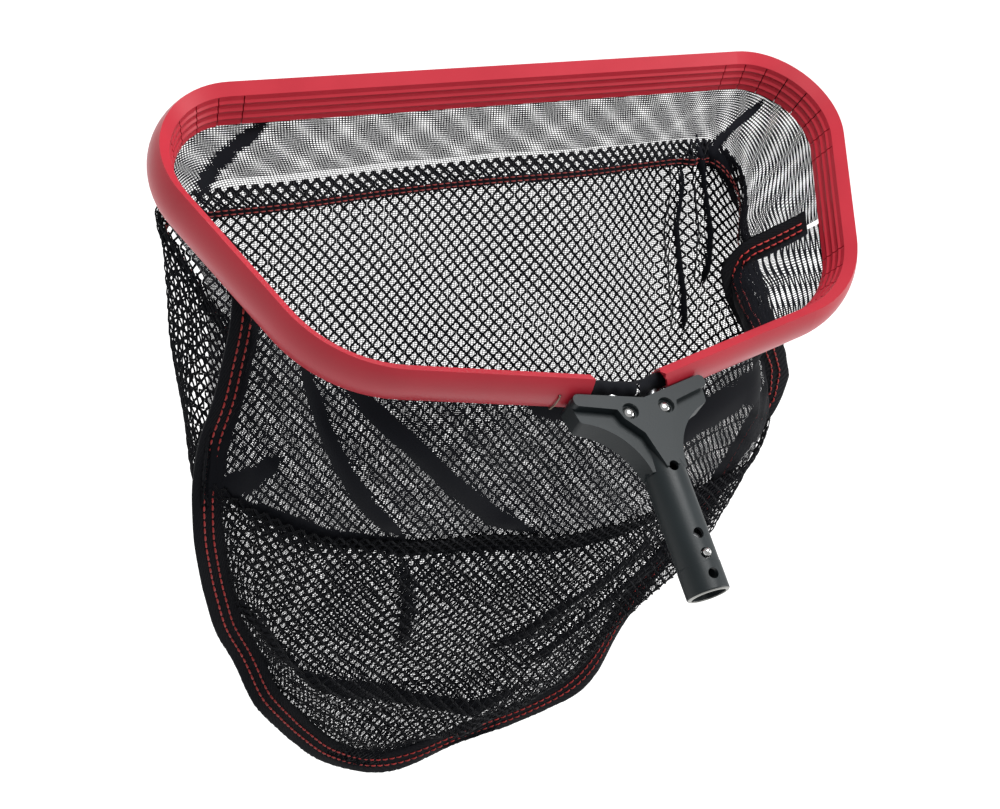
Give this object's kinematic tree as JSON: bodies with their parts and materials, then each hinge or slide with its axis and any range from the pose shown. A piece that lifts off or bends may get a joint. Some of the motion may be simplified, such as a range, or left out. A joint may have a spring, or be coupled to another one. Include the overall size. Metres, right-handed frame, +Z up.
{
  "type": "leaf skimmer net",
  "caption": "Deep-bag pool leaf rake: wide flat-fronted hoop under a red rim cover, layered mesh bag with seam tape, and a forked handle with a snap-button pole spigot.",
  "frame": {"origin": "on the pole spigot's axis, in the middle of the stretch that the pole grips beyond the snap buttons", "axes": "-Y out of the spigot towards the pole, +X to the right along the hoop's front edge, +Z up; the hoop lies ahead at +Y and the bag hangs at -Z"},
  "size_m": [0.5364, 0.4133, 0.4405],
  "materials": {
    "rod_metal": "satin",
    "cover_plastic": "satin",
    "sleeve_fabric": "matt",
    "tie_wire": "dull",
    "liner_mesh": "matt",
    "net_cord": "matt",
    "hem_fabric": "matt",
    "tape_fabric": "matt",
    "casting_paint": "satin",
    "bolt_steel": "polished",
    "clip_steel": "brushed",
    "button_chrome": "polished"
  },
  "bodies": {
    "net": {"hoop_rod": "rod_metal", "rim_cover": "cover_plastic", "bag_sleeve": "sleeve_fabric", "wire_tie": "tie_wire", "mesh_liner_front": "liner_mesh", "mesh_liner_rear": "liner_mesh", "net_front": "net_cord", "net_rear": "net_cord", "hem_front": "hem_fabric", "hem_rear": "hem_fabric", "seam_tape": "tape_fabric", "handle_casting": "casting_paint", "clamp_bolts": "bolt_steel", "clamp_washers": "bolt_steel", "clamp_nuts": "bolt_steel", "clip_bend": "clip_steel"},
    "snap_upper": {"clip_strip_upper": "clip_steel", "clip_button_upper": "button_chrome"},
    "snap_lower": {"clip_strip_lower": "clip_steel", "clip_button_lower": "button_chrome"}
  },
  "joints": [
    {"name": "snap_upper_press", "type": "hinge", "parent": "net", "child": "snap_upper", "pos_m": [0, 0.07285, 0.00415], "axis": [1, 0, 0], "range_deg": [0, 4], "stiffness_Nm_per_rad": 8},
    {"name": "snap_lower_press", "type": "hinge", "parent": "net", "child": "snap_lower", "pos_m": [0, 0.07285, -0.00415], "axis": [-1, 0, 0], "range_deg": [0, 4], "stiffness_Nm_per_rad": 8}
  ]
}
